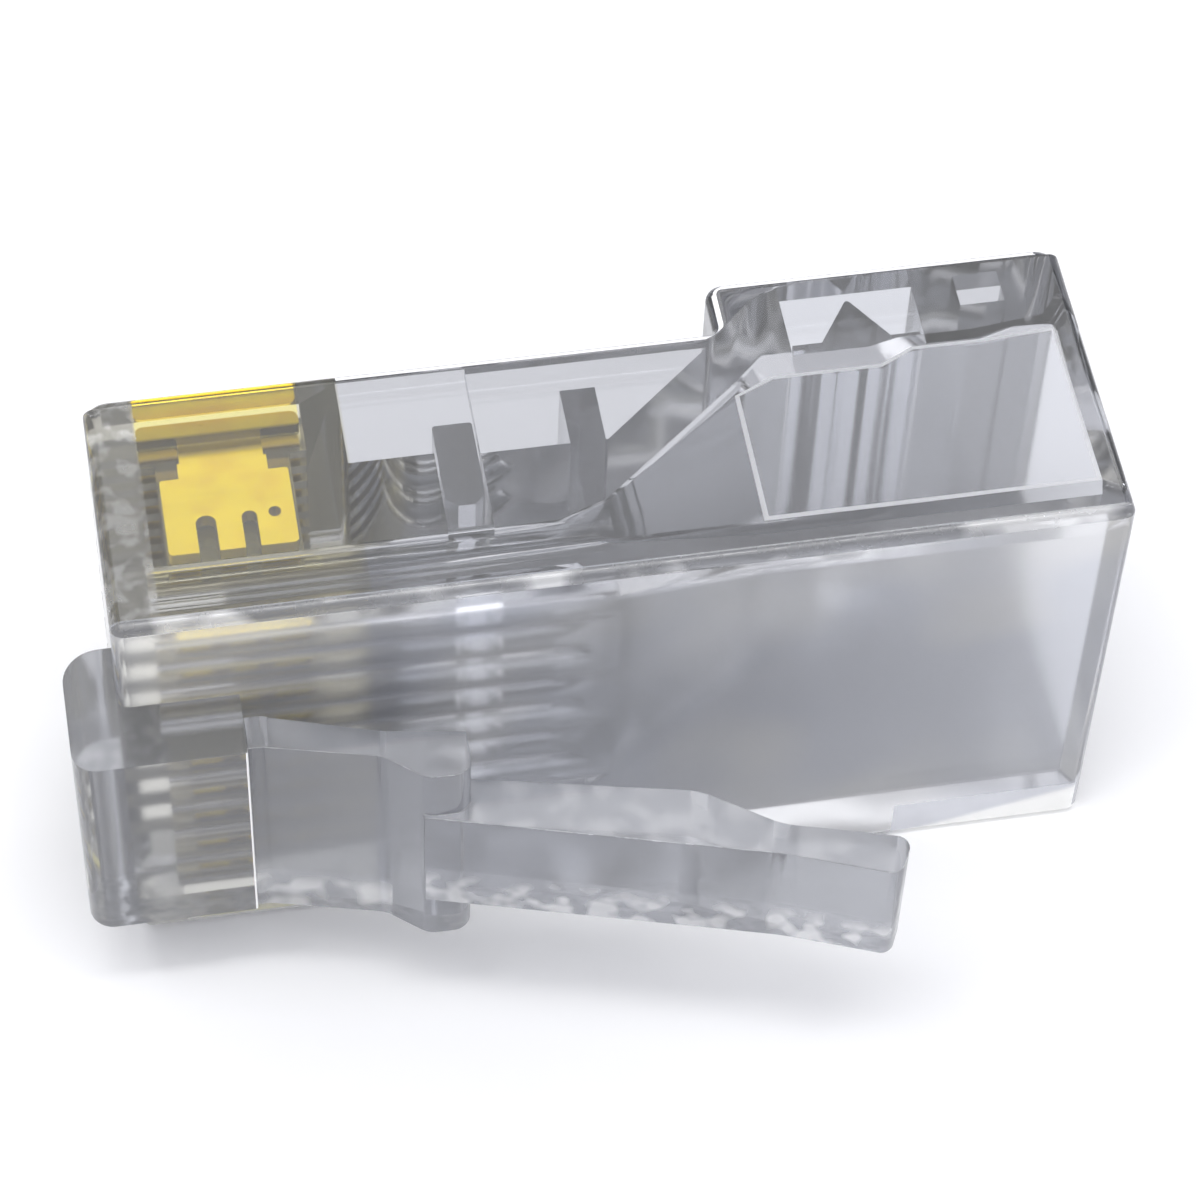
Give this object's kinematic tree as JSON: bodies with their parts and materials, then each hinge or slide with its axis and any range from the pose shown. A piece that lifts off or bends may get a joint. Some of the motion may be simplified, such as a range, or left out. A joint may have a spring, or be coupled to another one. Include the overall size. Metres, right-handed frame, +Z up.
{
  "type": "modular plug",
  "caption": "Clear modular plug for network cable, with a sprung latch lever, gold contact blades, a conductor bar and a jacket anvil, ready to crimp.",
  "frame": {"origin": "middle of the bounding box on the flat side face that the plug lies on", "axes": "+X from the nose back to the cable entry, +Y from the latch side to the contact side, +Z up across the plug's width"},
  "size_m": [0.0236, 0.0138, 0.0117],
  "materials": {
    "clear_moulding": "clear moulded polycarbonate",
    "gold_contact": "gold-plated stamped blade"
  },
  "bodies": {
    "plug_body": {"housing": "clear_moulding"},
    "latch": {"latch_lever": "clear_moulding"},
    "conductor_bar": {"conductor_bar": "clear_moulding"},
    "jacket_anvil": {"jacket_anvil": "clear_moulding"},
    "contact_1": {"contact_blade_1": "gold_contact"},
    "contact_2": {"contact_blade_2": "gold_contact"},
    "contact_3": {"contact_blade_3": "gold_contact"},
    "contact_4": {"contact_blade_4": "gold_contact"},
    "contact_5": {"contact_blade_5": "gold_contact"},
    "contact_6": {"contact_blade_6": "gold_contact"},
    "contact_7": {"contact_blade_7": "gold_contact"},
    "contact_8": {"contact_blade_8": "gold_contact"}
  },
  "joints": [
    {"name": "latch_flex", "type": "hinge", "parent": "plug_body", "child": "latch", "pos_m": [-0.00774, -0.00214, 0.00584], "axis": [0, 0, 1], "range_deg": [0, 16], "stiffness_Nm_per_rad": 0.1},
    {"name": "conductor_bar_press", "type": "slide", "parent": "plug_body", "child": "conductor_bar", "axis": [0, -1, 0], "range_m": [0, 0.0006]},
    {"name": "jacket_anvil_press", "type": "slide", "parent": "plug_body", "child": "jacket_anvil", "axis": [0, -1, 0], "range_m": [0, 0.0018]},
    {"name": "contact_1_crimp", "type": "slide", "parent": "plug_body", "child": "contact_1", "axis": [0, -1, 0], "range_m": [0, 0.00075]},
    {"name": "contact_2_crimp", "type": "slide", "parent": "plug_body", "child": "contact_2", "axis": [0, -1, 0], "range_m": [0, 0.00075]},
    {"name": "contact_3_crimp", "type": "slide", "parent": "plug_body", "child": "contact_3", "axis": [0, -1, 0], "range_m": [0, 0.00075]},
    {"name": "contact_4_crimp", "type": "slide", "parent": "plug_body", "child": "contact_4", "axis": [0, -1, 0], "range_m": [0, 0.00075]},
    {"name": "contact_5_crimp", "type": "slide", "parent": "plug_body", "child": "contact_5", "axis": [0, -1, 0], "range_m": [0, 0.00075]},
    {"name": "contact_6_crimp", "type": "slide", "parent": "plug_body", "child": "contact_6", "axis": [0, -1, 0], "range_m": [0, 0.00075]},
    {"name": "contact_7_crimp", "type": "slide", "parent": "plug_body", "child": "contact_7", "axis": [0, -1, 0], "range_m": [0, 0.00075]},
    {"name": "contact_8_crimp", "type": "slide", "parent": "plug_body", "child": "contact_8", "axis": [0, -1, 0], "range_m": [0, 0.00075]}
  ],
  "couplings": [
    {"joint": "contact_2_crimp", "follows": "contact_1_crimp", "ratio": 1},
    {"joint": "contact_3_crimp", "follows": "contact_1_crimp", "ratio": 1},
    {"joint": "contact_4_crimp", "follows": "contact_1_crimp", "ratio": 1},
    {"joint": "contact_5_crimp", "follows": "contact_1_crimp", "ratio": 1},
    {"joint": "contact_6_crimp", "follows": "contact_1_crimp", "ratio": 1},
    {"joint": "contact_7_crimp", "follows": "contact_1_crimp", "ratio": 1},
    {"joint": "contact_8_crimp", "follows": "contact_1_crimp", "ratio": 1}
  ]
}
